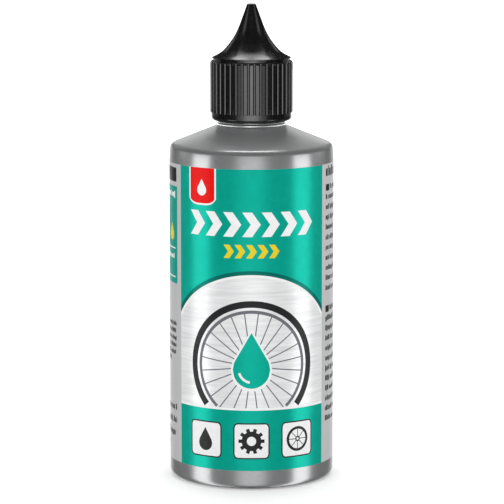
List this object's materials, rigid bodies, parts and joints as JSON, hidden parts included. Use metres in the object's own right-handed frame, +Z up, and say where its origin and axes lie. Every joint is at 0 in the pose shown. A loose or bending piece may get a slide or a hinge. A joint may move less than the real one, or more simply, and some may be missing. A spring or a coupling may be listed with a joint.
{
  "type": "chain lube bottle",
  "caption": "Round plastic bottle for chain lube with a wrapped label, a dropper nozzle in the neck and a ribbed screw cap that rises to a pointed spire.",
  "frame": {"origin": "centre of the base ring that the bottle stands on", "axes": "+Z up along the bottle's axis to the tip of the cap, -Y to the front of the label, +X to its right"},
  "size_m": [0.0422, 0.0422, 0.1218],
  "materials": {
    "grey_plastic": "satin",
    "label_film": "satin",
    "natural_plastic": "satin",
    "black_plastic": "satin"
  },
  "bodies": {
    "bottle": {"bottle": "grey_plastic", "wrap_label": "label_film", "dropper_insert": "natural_plastic"},
    "cap": {"spire_cap": "black_plastic"}
  },
  "joints": [
    {"name": "cap_lift", "type": "slide", "parent": "bottle", "child": "cap", "axis": [0, 0, 1], "range_m": [0, 0.03]}
  ]
}
